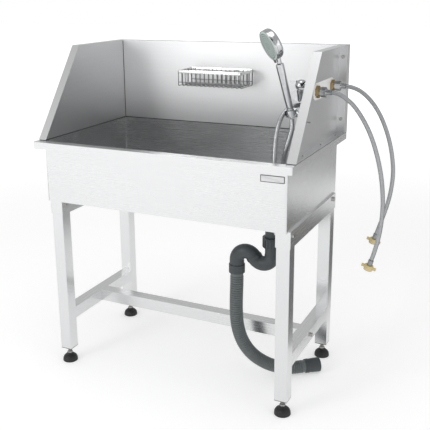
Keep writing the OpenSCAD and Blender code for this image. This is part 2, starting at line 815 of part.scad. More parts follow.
module handset_hose_nut() {
    color(chrome) at_shower() translate([0, 0, -cone_h]) cylinder(h = cone_h, r1 = cone_r - 3, r2 = cone_r);
}

module mixer_hose_nut() {
    color(chrome) translate([tap_x, mixer_nut_y, elbow_z]) difference() {
        rod_y(elbow_y - mixer_nut_y, cone_r);
        translate([0, elbow_y - mixer_nut_y - 10, 0]) rod_y(11, elbow_r - 2);
    }
}

module shower_hose() {
    color("silver") hose(shower_route, shower_d, 10);
}

// Hexagon swivel nut and crimped ferrule where a supply hose meets the tap's tail.
module swivel_nut(y) {
    color(chrome) translate([swivel_x, y, inlet_z]) {
        rotate([0, 90, 0]) difference() {
            hex(swivel_l, 26);
            translate([0, 0, -1]) cylinder(h = 9, r = inlet_r);
        }
        translate([swivel_l, 0, 0]) rod_x(ferrule_l, supply_d / 2 + 1.5);
    }
}

module swivel_nut_front() {
    swivel_nut(inlet_ys[0]);
}

module swivel_nut_back() {
    swivel_nut(inlet_ys[1]);
}

module supply_hose_front() {
    color("darkgray") hose(front_route, supply_d, 10);
}

module supply_hose_back() {
    color("darkgray") hose(back_route, supply_d, 10);
}

// Puts its children at the end of a hose: +Z runs on along it.
module at_end(p) {
    h = unit(p[len(p) - 1] - p[len(p) - 2]);
    translate(p[len(p) - 1]) rotate([0, acos(h[2]), atan2(h[1], h[0])]) children();
}

// Crimped ferrule and lined tail at a supply hose's free end.
module hose_tail(p) {
    color("gray") at_end(p) {
        cylinder(h = tail_l, r = supply_d / 2 + 1.5);
        translate([0, 0, tail_l]) cylinder(h = 5, r = 5);
        translate([0, 0, tail_l + 5]) cylinder(h = 3, r = nut_bore_r - 0.7);
    }
}

// Two-winged nut that turns on the tail.
module wing_nut(p) {
    color("khaki") at_end(p) translate([0, 0, tail_l + 1]) difference() {
        union() {
            cylinder(h = wing_h, r = nut_bore_r + 2.8);
            translate([-wing_w / 2, -wing_t / 2, 3]) cube([wing_w, wing_t, wing_h / 2]);
        }
        translate([0, 0, -1]) cylinder(h = 5, r = 5.4);
        translate([0, 0, 3.7]) cylinder(h = 3.6, r = nut_bore_r + 0.4);
        translate([0, 0, 7.2]) cylinder(h = wing_h, r = nut_bore_r);
    }
}

module hose_tail_front() {
    hose_tail(front_route);
}

module hose_tail_back() {
    hose_tail(back_route);
}

module wing_nut_front() {
    wing_nut(front_route);
}

module wing_nut_back() {
    wing_nut(back_route);
}

// Flanged outlet body that clamps the basin's dish.
module drain_flange() {
    color(chrome) translate([drain_x, drain_y, 0]) difference() {
        union() {
            translate([0, 0, dish_z]) cylinder(h = 2, r = dish_r - 3);
            translate([0, 0, joint_z + 40]) cylinder(h = dish_z - joint_z - 40, r = body_r + 0.9);
        }
        translate([0, 0, joint_z]) cylinder(h = basin_h, r = body_r - 1.6);
    }
}

// Lift-out strainer with its holes and its knob.
module drain_strainer() {
    color(steel) translate([drain_x, drain_y, dish_z + 2]) {
        difference() {
            union() {
                cylinder(h = 1.5, r = dish_r - 8);
                translate([0, 0, -10]) cylinder(h = 10, r = body_r - 2.2);
            }
            translate([0, 0, -11]) cylinder(h = 11, r = body_r - 3.4);
            for (r = [11, 18], a = [0:30:330]) rotate([0, 0, a + r]) translate([r, 0, -1]) cylinder(h = 4, r = 2);
        }
        translate([0, 0, 1.5]) cylinder(h = 8, r = 3);
        translate([0, 0, 9.5]) cylinder(h = 4, r = 8);
    }
}

// Lock nut under the basin and the slip nut between the tailpiece and the trap.
module drain_nuts() {
    color([0.2, 0.22, 0.24]) translate([drain_x, drain_y, 0]) {
        translate([0, 0, dish_z - sheet - 10]) difference() {
            cylinder(h = 10, r = 35);
            translate([0, 0, -1]) cylinder(h = 12, r = body_r + 0.9);
        }
        translate([0, 0, joint_z - 16]) difference() {
            cylinder(h = 32, r = pipe_r + 8);
            translate([0, 0, -1]) cylinder(h = 34, r = pipe_r);
        }
    }
}

module tailpiece() {
    color([0.22, 0.24, 0.26]) translate([drain_x, drain_y, joint_z]) difference() {
        cylinder(h = 60, r = pipe_r);
        translate([0, 0, -1]) cylinder(h = 62, r = pipe_r - pipe_t);
    }
}

// Bend of pipe in the X-Z plane, from one angle to another about its centre.
module bend(from, to) {
    rotate([90, 0, 0]) rotate([0, 0, from]) rotate_extrude(angle = to - from)
        translate([bend_r, 0]) difference() {
            circle(pipe_r);
            circle(pipe_r - pipe_t);
        }
}

// Ring on the pipe from z = low to z = high, standing out from it.
module bead(low, high, out) {
    difference() {
        translate([0, 0, low]) cylinder(h = high - low, r = pipe_r + out);
        translate([0, 0, low - 1]) cylinder(h = high - low + 2, r = pipe_r - 1);
    }
}

// Puts its children at the seam between the trap's two bends, with +Z on into the upper bend.
module at_seam() {
    translate([arch_x, drain_y, arch_z]) rotate([0, -bend_turn, 0]) translate([bend_r, 0, 0]) children();
}

// Lower bend of the trap, rising to the slip nut.
module trap_bend() {
    color([0.22, 0.24, 0.26]) {
        translate([bend_x, drain_y, bend_z]) bend(bend_turn - 180, 0);
        translate([drain_x, drain_y, bend_z]) difference() {
            cylinder(h = joint_z - bend_z, r = pipe_r);
            translate([0, 0, -1]) cylinder(h = joint_z - bend_z + 2, r = pipe_r - pipe_t);
        }
        translate([drain_x, drain_y, bend_z]) bead(-2, 2, 1);
        at_seam() bead(-5, 0, 2);
    }
}

// Upper bend of the trap with its socket and the collar for the waste hose.
module trap_arch() {
    color([0.22, 0.24, 0.26]) {
        translate([arch_x, drain_y, arch_z]) bend(bend_turn, 180);
        at_seam() bead(0, 5, 2);
        translate([collar_x, drain_y, collar_z]) difference() {
            union() {
                cylinder(h = collar_h, r = pipe_r + 2.5);
                cylinder(h = arch_z - collar_z, r = pipe_r);
            }
            translate([0, 0, 4]) cylinder(h = arch_z - collar_z, r = pipe_r - pipe_t);
        }
    }
}

module waste_hose() {
    color("dimgray") hose(waste_route, waste_hose_d, 12);
}

module waste_cuff() {
    color([0.2, 0.22, 0.24]) at_end(waste_route) cylinder(h = cuff_l, r = waste_hose_d / 2 + 2.5);
}

tub_basin();
back_panel();
left_panel();
right_panel();
panel_bolts();
panel_screws();
panel_seals();
name_plate();
left_support_rail();
right_support_rail();
leg_front_left();
leg_front_right();
leg_back_left();
leg_back_right();
frame_bolts();
left_lower_rail();
right_lower_rail();
stretcher();
leg_inserts();
foot_lock_nuts();
stud_front_left();
stud_front_right();
stud_back_left();
stud_back_right();
pad_front_left();
pad_front_right();
pad_back_left();
pad_back_right();
wire_basket();
mixer_body();
union_nuts();
mixer_inlets();
backing_plate();
brass_lock_nuts();
cartridge_stem();
mixer_lever();
outlet_elbow();
shower_holder();
handset_handle();
handset_head();
spray_plate();
handset_hose_nut();
mixer_hose_nut();
shower_hose();
swivel_nut_front();
supply_hose_front();
hose_tail_front();
wing_nut_front();
swivel_nut_back();
supply_hose_back();
hose_tail_back();
wing_nut_back();
drain_flange();
drain_strainer();
drain_nuts();
tailpiece();
trap_bend();
trap_arch();
waste_hose();
waste_cuff();
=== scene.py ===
"""Looks of the pet bathtub: finishes, rounded sheet edges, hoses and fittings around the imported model."""
import json
import math

import bpy
from mathutils import Matrix, Vector


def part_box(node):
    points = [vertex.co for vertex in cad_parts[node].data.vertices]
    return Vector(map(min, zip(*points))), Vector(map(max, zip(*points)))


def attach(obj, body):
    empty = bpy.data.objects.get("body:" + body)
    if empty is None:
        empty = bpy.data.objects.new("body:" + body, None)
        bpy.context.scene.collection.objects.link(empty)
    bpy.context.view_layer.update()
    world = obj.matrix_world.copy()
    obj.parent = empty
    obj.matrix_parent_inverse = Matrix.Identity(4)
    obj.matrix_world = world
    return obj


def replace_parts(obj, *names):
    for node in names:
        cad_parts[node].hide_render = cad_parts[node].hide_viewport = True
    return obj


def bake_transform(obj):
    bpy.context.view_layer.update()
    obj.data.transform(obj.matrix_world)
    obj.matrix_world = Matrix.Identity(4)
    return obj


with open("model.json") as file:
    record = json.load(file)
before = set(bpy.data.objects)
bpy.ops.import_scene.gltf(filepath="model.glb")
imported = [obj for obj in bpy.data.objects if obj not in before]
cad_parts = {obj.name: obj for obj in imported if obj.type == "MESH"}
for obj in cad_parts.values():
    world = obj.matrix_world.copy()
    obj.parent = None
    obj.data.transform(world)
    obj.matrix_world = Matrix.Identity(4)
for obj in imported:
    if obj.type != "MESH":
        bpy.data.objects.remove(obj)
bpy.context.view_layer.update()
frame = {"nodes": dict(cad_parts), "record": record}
body_of = {node: body for body, nodes in frame["record"]["behaviour"]["bodies"].items() for node in nodes}

# ---------------------------------------------------------------- Camera
# A long lens stands in front and to the right, a little above the rim, and looks
# down on the tub. The small shift only places the tub in the frame.
eye = Vector((1.0241, -2.0039, 1.2295))
yaw, pitch, roll = math.radians(26.55), math.radians(14.88), math.radians(-0.75)
ahead = Vector((-math.sin(yaw) * math.cos(pitch), math.cos(yaw) * math.cos(pitch), -math.sin(pitch)))
level_right = Vector((math.cos(yaw), math.sin(yaw), 0))
level_up = level_right.cross(ahead)
right = level_right * math.cos(roll) + level_up * math.sin(roll)
up = level_up * math.cos(roll) - level_right * math.sin(roll)
lens = bpy.data.cameras.new("camera")
lens.lens = 60.35
lens.sensor_width = 36
lens.shift_x = 0.035
lens.shift_y = -0.081
camera = bpy.data.objects.new("camera", lens)
camera.matrix_world = Matrix.Translation(eye) @ Matrix((right, up, -ahead)).transposed().to_4x4()
bpy.context.collection.objects.link(camera)
bpy.context.scene.camera = camera

# ---------------------------------------------------------------- Room
# A white studio with five soft boxes and a pale floor. Its walls turn greyer higher up,
# and four cards out of the camera's sight darken what the polished sheet reflects.
bpy.context.scene.view_settings.view_transform = "Standard"


class Channel:
    """A shader socket that takes part in arithmetic."""

    def __init__(self, finish, socket):
        self.finish = finish
        self.socket = socket

    def maths(self, operation, first, second):
        return self.finish.node("ShaderNodeMath", {"operation": operation}, first, second)

    def __add__(self, other):
        return self.maths("ADD", self, other)

    def __radd__(self, other):
        return self.maths("ADD", other, self)

    def __sub__(self, other):
        return self.maths("SUBTRACT", self, other)

    def __rsub__(self, other):
        return self.maths("SUBTRACT", other, self)

    def __mul__(self, other):
        return self.maths("MULTIPLY", self, other)

    def __rmul__(self, other):
        return self.maths("MULTIPLY", other, self)

    def wave(self):
        """Sine of the value, in turns, brought to 0 to 1."""
        return 0.5 + 0.5 * self.maths("SINE", self * (2 * math.pi), 0)


class Finish:
    """A material, or the room's light, whose shader sockets are set or fed by name."""

    def __init__(self, name, owner=None, shader="Principled BSDF", **fixed):
        self.material = owner or bpy.data.materials.new(name)
        self.material.use_nodes = True
        self.nodes = self.material.node_tree.nodes
        self.shader = self.nodes[shader]
        self.set(**fixed)

    def put(self, socket, value):
        if isinstance(value, Channel):
            self.material.node_tree.links.new(value.socket, socket)
        elif socket.type == "RGBA":
            socket.default_value = (*value, 1)
        else:
            socket.default_value = value

    def node(self, kind, settings, *values, out=0, **named):
        made = self.nodes.new(kind)
        for name, value in settings.items():
            if name == "stops":
                ramp = made.color_ramp
                while len(ramp.elements) < len(value):
                    ramp.elements.new(0.5)
                for element, (place, shade) in zip(ramp.elements, value):
                    element.position = place
                    element.color = (*shade, 1)
            else:
                setattr(made, name, value)
        for socket, value in zip(made.inputs, values):
            self.put(socket, value)
        for name, value in named.items():
            self.put(made.inputs[name.replace("_", " ")], value)
        return Channel(self, made.outputs[out])

    def set(self, **named):
        for name, value in named.items():
            self.put(self.shader.inputs[name.replace("_", " ")], value)

    def mix(self, factor, first, second):
        made = self.nodes.new("ShaderNodeMix")
        made.data_type = "RGBA"
        self.put(made.inputs[0], factor)
        self.put(made.inputs[6], first)
        self.put(made.inputs[7], second)
        return Channel(self, made.outputs[2])

    def place(self, stretch):
        spot = self.node("ShaderNodeTexCoord", {}, out=3)
        return self.node("ShaderNodeVectorMath", {"operation": "MULTIPLY"}, spot, stretch)

    def noise(self, stretch, scale=1.0, detail=3.0):
        return self.node("ShaderNodeTexNoise", {}, Vector=self.place(stretch), Scale=scale, Detail=detail)

    def bump(self, height, strength, distance):
        self.set(Normal=self.node("ShaderNodeBump", {}, Strength=strength, Distance=distance, Height=height))
        return self


ROOM_GREYS = [(0.47, 0.95), (0.50, 0.80), (0.56, 0.72), (0.64, 0.62), (0.80, 0.60), (1.0, 0.60)]
room = bpy.data.worlds.new("room")
bpy.context.scene.world = room
walls = Finish("room", room, "Background")
direction = walls.node("ShaderNodeTexCoord", {}, out=0)
upward = walls.node("ShaderNodeSeparateXYZ", {}, direction, out=2)
greys = walls.node("ShaderNodeValToRGB",
                   {"stops": [(place, (grey, grey, grey)) for place, grey in ROOM_GREYS]},
                   0.5 + 0.5 * upward)
to_camera = walls.node("ShaderNodeLightPath", {}, out=0)
walls.set(Color=walls.mix(to_camera, greys, (1, 1, 1)))


def soft_box(name, place, aim, size, power):
    light = bpy.data.lights.new(name, "AREA")
    light.shape = "RECTANGLE"
    light.size, light.size_y = size
    light.energy = power
    lamp = bpy.data.objects.new(name, light)
    lamp.location = place
    lamp.rotation_euler = (Vector(aim) - Vector(place)).to_track_quat("-Z", "Y").to_euler()
    bpy.context.collection.objects.link(lamp)


# Each box and card: its place, what it faces, its size, and its watts or grey.
soft_box("front_box", (-1.6, -3.2, 2.6), (0, 0, 0.7), (2.2, 1.6), 16)
soft_box("band_box", (-1.3, -2.7, 1.5), (-0.2, 0.1, 0.7), (0.5, 1.0), 5)
soft_box("window_box", (-1.7, -3.3, 1.8), (0, 0.2, 0.8), (0.8, 1.4), 8)
soft_box("right_box", (3.0, -0.8, 1.7), (0, 0, 0.8), (1.0, 1.6), 5)
soft_box("top_box", (0.2, -0.5, 3.4), (0, 0, 0.6), (1.6, 1.6), 12)


def flag(name, place, aim, size, grey):
    """A dark card that the camera doesn't see and the polished sheet reflects."""
    bpy.ops.mesh.primitive_plane_add(size=1, location=place)
    card = bpy.context.object
    card.name = name
    card.scale = (*size, 1)
    card.rotation_euler = (Vector(aim) - Vector(place)).to_track_quat("Z", "Y").to_euler()
    card.visible_camera = False
    card.visible_shadow = False
    card.visible_diffuse = False
    cloth = Finish(name + "_cloth", Base_Color=(grey, grey, grey), Roughness=1)
    card.data.materials.append(cloth.material)


flag("back_right_flag", (1.9, 1.9, 0.60), (0.4, 0, 0.60), (3.0, 1.2), 0.45)
flag("floor_flag", (1.35, 1.0, 0.001), (1.35, 1.0, 1.0), (1.6, 1.6), 0.20)
flag("high_flag", (0.9, -2.6, 2.9), (0.3, 0, 0.9), (2.4, 1.2), 0.01)
flag("left_floor_flag", (-2.2, -0.2, 0.001), (-2.2, -0.2, 1.0), (1.0, 1.6), 0.01)

# The floor glows more and more away from the tub, so that it runs into the white room.
GLOW_STARTS, GLOW_ENDS = 1.5, 6.0
GLOW_NEAR, GLOW_FAR = 0.42, 0.80
bpy.ops.mesh.primitive_plane_add(size=40, location=(0, 0, -0.0002))
floor = bpy.context.object
floor.name = "studio_floor"
paper = Finish("studio_paper", Base_Color=(0.75, 0.75, 0.75), Roughness=0.9, Emission_Strength=1)
spot_on_floor = paper.node("ShaderNodeTexCoord", {}, out=3)
distance = paper.node("ShaderNodeVectorMath", {"operation": "LENGTH"}, spot_on_floor, out=1)
glow = paper.node("ShaderNodeMapRange", {"interpolation_type": "SMOOTHSTEP"},
                  distance, GLOW_STARTS, GLOW_ENDS, GLOW_NEAR, GLOW_FAR)
paper.set(Emission_Color=glow)
floor.data.materials.append(paper.material)


# ---------------------------------------------------------------- Hoses
# Four flexible hoses. The shower hose is interlocked metal strip, the two supply
# hoses are woven steel over rubber, and the waste hose is ribbed dark plastic.


def wear(piece, finish):
    """Gives a piece its finish."""
    piece.data.materials.clear()
    piece.data.materials.append(finish.material)


CURVE_STEPS = 24


def smooth_route(points, step):
    """Even points along one smooth curve through the given points, with each one's direction."""
    knots = [Vector(point) / 1000 for point in points]
    ends = [2 * knots[0] - knots[1]] + knots + [2 * knots[-1] - knots[-2]]
    fine = []
    for a, b, c, d in zip(ends, ends[1:], ends[2:], ends[3:]):
        for k in range(CURVE_STEPS):
            t = k / CURVE_STEPS
            fine.append(0.5 * (2 * b + (c - a) * t + (2 * a - 5 * b + 4 * c - d) * t * t
                               + (3 * b - a - 3 * c + d) * t ** 3))
    fine.append(knots[-1])
    reach = [0.0]
    for a, b in zip(fine, fine[1:]):
        reach.append(reach[-1] + (b - a).length)
    count = max(2, round(reach[-1] / step))
    even, i = [], 0
    for k in range(count + 1):
        want = reach[-1] * k / count
        while i < len(fine) - 2 and reach[i + 1] < want:
            i += 1
        even.append(fine[i].lerp(fine[i + 1], (want - reach[i]) / (reach[i + 1] - reach[i])))
    return even, reach[-1]


def tube(name, route, step, sides, radius_at):
    """Tube along a route whose radius follows the length; its UV map is turns round and turns along."""
    path, length = smooth_route(route, step)
    rings = len(path)
    ahead_of = [(path[min(i + 1, rings - 1)] - path[max(i - 1, 0)]).normalized() for i in range(rings)]
    side = ahead_of[0].orthogonal().normalized()
    points = []
    for i, spot in enumerate(path):
        side = (side - ahead_of[i] * side.dot(ahead_of[i])).normalized()
        over = ahead_of[i].cross(side)
        radius = radius_at(length * i / (rings - 1), length)
        points += [spot + radius * (math.cos(2 * math.pi * k / sides) * side
                                    + math.sin(2 * math.pi * k / sides) * over) for k in range(sides)]
    faces = [(i * sides + k, i * sides + (k + 1) % sides,
              (i + 1) * sides + (k + 1) % sides, (i + 1) * sides + k)
             for i in range(rings - 1) for k in range(sides)]
    last = (rings - 1) * sides
    faces += [tuple(range(sides - 1, -1, -1)), tuple(range(last, last + sides))]
    mesh = bpy.data.meshes.new(name)
    mesh.from_pydata(points, [], faces)
    unwrap = mesh.uv_layers.new(name="wrap")
    turn = 2 * math.pi * radius_at(0, length)
    corner = 0
    for i in range(rings - 1):
        for k in range(sides):
            low, high = length * i / (rings - 1) / turn, length * (i + 1) / (rings - 1) / turn
            for across, along in ((k, low), (k + 1, low), (k + 1, high), (k, high)):
                unwrap.data[corner].uv = (across / sides, along)
                corner += 1
    mesh.shade_smooth()
    piece = bpy.data.objects.new(name, mesh)
    bpy.context.collection.objects.link(piece)
    return piece, path, length


def wrapped(finish, across, along):
    """Turns round and turns along a hose, from its own UV map."""
    spot = finish.node("ShaderNodeUVMap", {"uv_map": "wrap"})
    return (finish.node("ShaderNodeSeparateXYZ", {}, spot, out=0) * across,
            finish.node("ShaderNodeSeparateXYZ", {}, spot, out=1) * along)


strip = Finish("interlocked_strip", Metallic=1.0)
tarnish = strip.noise((60, 60, 60))
strip.set(Base_Color=strip.mix(tarnish, (0.42, 0.43, 0.44), (0.70, 0.71, 0.72)),
          Roughness=0.16 + 0.16 * tarnish)
strip.bump(strip.noise((900, 900, 900)), 0.08, 0.0002)

STRIP_PITCH = 0.0034
STRIP_RADIUS = 0.0070
STRIP_GROOVE = 0.00055


def strip_radius(reach, length):
    """Radius of the wound strip, with a narrow groove where one turn meets the next."""
    turn = (reach / STRIP_PITCH) % 1
    return STRIP_RADIUS - STRIP_GROOVE * (1 - min(1, 3.2 * min(turn, 1 - turn)))


loop_route = [
    (352, 24, 892), (350, 8, 895), (345, -8, 896), (337, -24, 894), (328, -40, 887),
    (320, -57, 873), (316, -73, 853), (315, -89, 827), (317, -105, 797), (321, -120, 766),
    (324, -134, 733), (322, -147, 700), (315, -157, 668), (300, -163, 639), (277, -167, 616),
    (245, -168, 600), (205, -165, 591), (160, -158, 589), (112, -148, 589), (62, -133, 589),
    (15, -110, 589), (-25, -78, 589), (-45, -35, 589), (-38, 12, 589), (-8, 48, 589),
    (38, 70, 589), (90, 76, 589), (142, 72, 589), (192, 62, 590), (236, 46, 597), (272, 22, 613),
]
rise_route = [
    (272, 22, 613), (299, -8, 638), (316, -40, 670), (327, -66, 705), (334, -80, 742),
    (341, -83, 778), (348, -76, 810), (352, -65, 840), (349, -57, 864),
]
hose_loop, loop_path, loop_length = tube("shower_hose_loop", loop_route, STRIP_PITCH / 4, 14, strip_radius)
wear(hose_loop, strip)
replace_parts(hose_loop, "shower_hose")
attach(hose_loop, "tub")

hose_rise, rise_path, rise_length = tube("shower_hose_rise", rise_route, STRIP_PITCH / 4, 14, strip_radius)
wear(hose_rise, strip)
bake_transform(hose_rise)

# Woven steel: two sets of crossing strands, each strand a few thin bright wires.
braid = Finish("woven_steel", Metallic=0.85)
around, along = wrapped(braid, 10, 2.4)
strands = (around + along * 4).wave() * (around - along * 4).wave()
wires = ((around + along * 4) * 5).wave() * 0.5 + ((around - along * 4) * 5).wave() * 0.5
braid.set(Base_Color=braid.mix(strands, (0.30, 0.31, 0.32), (0.72, 0.73, 0.74)),
          Roughness=0.42 - 0.14 * wires)
braid.bump(strands * 0.7 + wires * 0.3, 0.6, 0.0006)

front_route = [
    (446, 1, 938), (466, 1, 935), (490, 1, 922), (514, 1, 901), (536, 1, 872), (556, 1, 838),
    (573, 1, 799), (587, 1, 756), (598, 1, 710), (605, 1, 662), (608, 1, 614), (606, 1, 566),
    (600, 1, 519), (590, 1, 474), (583, 1, 450),
]
back_route = [
    (446, 151, 938), (466, 151, 935), (490, 151, 926), (514, 151, 908), (536, 151, 884), (556, 151, 853),
    (573, 151, 816), (587, 151, 775), (597, 151, 730), (602, 151, 684), (600, 151, 638), (593, 151, 593),
    (582, 151, 550), (570, 151, 510), (561, 151, 481),
]
turned = Finish("crimped_steel", Metallic=1.0)
crimp = turned.noise((300, 300, 300))
turned.set(Base_Color=turned.mix(crimp, (0.20, 0.21, 0.22), (0.42, 0.43, 0.44)),
           Roughness=0.3 + 0.2 * crimp)
cream = Finish("cream_moulding")
shade = cream.noise((70, 70, 70))
cream.set(Base_Color=cream.mix(shade, (0.56, 0.44, 0.20), (0.72, 0.60, 0.34)),
          Roughness=0.34 + 0.14 * shade)
BRAID_RADIUS = 0.00625
FLAT_WITHIN, SHARP_FROM, SMOOTH_BELOW = math.radians(1.5), math.radians(35), math.radians(32)


def rounded(node, finish, width):
    """A copy of a fitted part with its doubles merged and its sharp edges rounded."""
    piece = frame["nodes"][node].copy()
    piece.data = piece.data.copy()
    piece.name = node + "_finished"
    piece.parent = None
    piece.matrix_world = Matrix.Identity(4)
    bpy.context.collection.objects.link(piece)
    bpy.ops.object.select_all(action="DESELECT")
    bpy.context.view_layer.objects.active = piece
    piece.select_set(True)
    bpy.ops.object.mode_set(mode="EDIT")
    bpy.ops.mesh.select_all(action="SELECT")
    bpy.ops.mesh.remove_doubles(threshold=0.00001)
    bpy.ops.mesh.dissolve_limited(angle_limit=FLAT_WITHIN)
    bpy.ops.object.mode_set(mode="OBJECT")
    bevel = piece.modifiers.new("round", "BEVEL")
    bevel.width = width
    bevel.segments = 3
    bevel.limit_method = "ANGLE"
    bevel.angle_limit = SHARP_FROM
    bpy.ops.object.modifier_apply(modifier="round")
    bpy.ops.object.shade_smooth_by_angle(angle=SMOOTH_BELOW)
    even = piece.modifiers.new("flat_faces_stay_flat", "WEIGHTED_NORMAL")
    even.keep_sharp = True
    even.weight = 100
    bpy.ops.object.modifier_apply(modifier=even.name)
    wear(piece, finish)
    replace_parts(piece, node)
    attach(piece, body_of[node])
    return piece


for side, route in (("front", front_route), ("back", back_route)):
    hose, path, length = tube("braided_hose_" + side, route, 0.004, 20, lambda reach, whole: BRAID_RADIUS)
    wear(hose, braid)
    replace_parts(hose, "supply_hose_" + side)
    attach(hose, "tub")
    tail = rounded("hose_tail_" + side, turned, 0.0005)
    wings = rounded("wing_nut_" + side, cream, 0.0008)

# Ribbed waste hose: broad rounded ribs with narrow grooves, plain for a short way at both ends.
pipe = Finish("dark_plastic_pipe")
mottle = pipe.noise((25, 25, 25))
pipe.set(Base_Color=pipe.mix(mottle, (0.030, 0.038, 0.042), (0.055, 0.066, 0.071)),
         Roughness=0.34 + 0.16 * mottle)
pipe.bump(pipe.noise((500, 500, 500)), 0.12, 0.0003)
grey_pipe = Finish("grey_ribbed_hose")
bloom = grey_pipe.noise((60, 60, 60))
grey_pipe.set(Base_Color=grey_pipe.mix(bloom, (0.085, 0.100, 0.104), (0.140, 0.158, 0.162)),
              Roughness=0.28 + 0.14 * bloom)


RIB_PITCH = 0.0076
PLAIN_RADIUS, GROOVE_RADIUS, RIB_HEIGHT = 0.0200, 0.0182, 0.0028
PLAIN_START, PLAIN_END = 0.012, 0.01


def rib_radius(reach, length):
    """Radius of the waste hose, ribbed, and plain where the collar and the cuff grip it."""
    turn = (reach / RIB_PITCH) % 1
    if reach < PLAIN_START or reach > length - PLAIN_END:
        return PLAIN_RADIUS
    return GROOVE_RADIUS + RIB_HEIGHT * min(1, max(0, 0.62 + 1.1 * math.cos(2 * math.pi * turn)))


waste_route = [
    (196, -100, 386), (196, -101, 345), (195, -102, 300), (195, -102, 255), (197, -99, 212),
    (204, -92, 170), (216, -80, 132), (233, -63, 98), (254, -41, 69), (279, -17, 46), (308, 8, 31),
    (339, 33, 24), (370, 58, 24),
]
waste_hose, waste_path, waste_length = tube("ribbed_waste_hose", waste_route, RIB_PITCH / 10, 32, rib_radius)
wear(waste_hose, grey_pipe)
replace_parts(waste_hose, "waste_hose")
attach(waste_hose, "tub")


def lathe(name, outline, steps, placed=Matrix.Identity(4)):
    """Solid of revolution about Z from an outline of (radius, height) in millimetres."""
    mesh = bpy.data.meshes.new(name)
    points = [(radius / 1000, 0, height / 1000) for radius, height in outline]
    mesh.from_pydata(points, [(i, i + 1) for i in range(len(points) - 1)], [])
    piece = bpy.data.objects.new(name, mesh)
    bpy.context.collection.objects.link(piece)
    bpy.ops.object.select_all(action="DESELECT")
    bpy.context.view_layer.objects.active = piece
    piece.select_set(True)
    bpy.ops.object.mode_set(mode="EDIT")
    bpy.ops.mesh.select_all(action="SELECT")
    bpy.ops.mesh.spin(steps=steps, angle=2 * math.pi, center=(0, 0, 0), axis=(0, 0, 1))
    bpy.ops.mesh.select_all(action="SELECT")
    bpy.ops.mesh.remove_doubles(threshold=0.000005)
    bpy.ops.mesh.normals_make_consistent(inside=False)
    bpy.ops.object.mode_set(mode="OBJECT")
    mesh.transform(placed)
    bpy.ops.object.shade_smooth_by_angle(angle=SMOOTH_BELOW)
    return piece


# Stepped rubber cuff on the waste hose's far end.
run_out = (Vector(waste_route[-1]) - Vector(waste_route[-2])).normalized()
at_cuff = (Matrix.Translation(Vector(waste_route[-1]) / 1000)
           @ run_out.to_track_quat("Z", "Y").to_matrix().to_4x4())
cuff = lathe("waste_cuff_stepped", [
    (0, 0), (21.6, 0), (22.6, 0.6), (22.8, 8), (23.2, 9), (23.2, 11), (22.2, 12), (22.2, 20), (22.8, 22),
    (23.1, 40), (23.4, 44), (23.5, 46), (23.5, 49), (23, 50), (19.4, 50), (19, 49), (19, 20), (0, 20)],
    64, at_cuff)
wear(cuff, pipe)
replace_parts(cuff, "waste_cuff")
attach(cuff, "tub")

# ---------------------------------------------------------------- Basin
# Stainless sheet, 1.5 mm, pressed and welded. Every fold keeps a small round edge,
# and the sheet carries a fine polishing grain along its length.


def brushed(name, grain, light, dark, rough):
    """Polished sheet whose fine grain runs where the stretch is small."""
    sheet = Finish(name, Metallic=1.0)
    lines = sheet.noise(grain, 1.0, 2.0)
    broad = sheet.noise((3.1, 2.7, 3.7), 1.0, 2.0)
    sheet.set(Base_Color=sheet.mix(lines * 0.6 + broad * 0.4, dark, light),
              Roughness=rough + 0.05 * (lines - 0.5) + 0.05 * (broad - 0.5))
    return sheet.bump(lines, 0.015, 0.0002)


LIGHT, DARK = (0.77, 0.775, 0.78), (0.69, 0.695, 0.70)
ALONG_X, ALONG_Y, ALONG_Z = (6, 700, 700), (700, 6, 700), (700, 700, 6)
sheet_along_x = brushed("sheet_grain_along_x", ALONG_X, LIGHT, DARK, 0.27)
rounded("tub_basin", sheet_along_x, 0.0007)

# ---------------------------------------------------------------- Splash panels
# Three trays of thinner sheet with their edges folded away from the bather, bolted
# to each other at the back corners and screwed down on a soft sealing strip.
panel_along_x = brushed("panel_grain_along_x", ALONG_X, (0.78, 0.785, 0.79), (0.68, 0.685, 0.69), 0.38)
panel_along_y = brushed("panel_grain_along_y", ALONG_Y, (0.76, 0.765, 0.77), (0.66, 0.665, 0.67), 0.36)
rounded("back_panel", panel_along_x, 0.0006)
rounded("left_panel", panel_along_y, 0.0006)
rounded("right_panel", panel_along_y, 0.0006)
seal = Finish("soft_strip", Base_Color=(0.02, 0.02, 0.02))
seal.set(Roughness=0.7 + 0.2 * seal.noise((300, 300, 300)))
rounded("panel_seals", seal, 0.0004)


BEAD_RADIUS = 0.0013


def seal_bead(name, start, end):
    """Squeezed-out edge of the strip, a thin round line between two points."""
    bead = bpy.data.curves.new(name, "CURVE")
    bead.dimensions = "3D"
    bead.bevel_depth = BEAD_RADIUS
    bead.bevel_resolution = 3
    bead.use_fill_caps = True
    run = bead.splines.new("POLY")
    run.points.add(1)
    run.points[0].co, run.points[1].co = (*start, 1), (*end, 1)
    line = bpy.data.objects.new(name, bead)
    bpy.context.collection.objects.link(line)
    bpy.ops.object.select_all(action="DESELECT")
    line.select_set(True)
    bpy.context.view_layer.objects.active = line
    bpy.ops.object.convert(target="MESH")
    wear(line, seal)
    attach(line, "tub")


back_low, back_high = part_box("back_panel")
inner_left, inner_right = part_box("left_panel")[1].x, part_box("right_panel")[0].x
face_y, foot_z = back_low.y, back_low.z
for side, inner in (("left", inner_left), ("right", inner_right)):
    front_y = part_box(side + "_panel")[0].y
    seal_bead("seal_foot_" + side, (inner, front_y, foot_z), (inner, face_y, foot_z))
    seal_bead("seal_corner_" + side, (inner, face_y, foot_z), (inner, face_y, back_high.z - 0.003))
seal_bead("seal_foot_back", (inner_left, face_y, foot_z), (inner_right, face_y, foot_z))

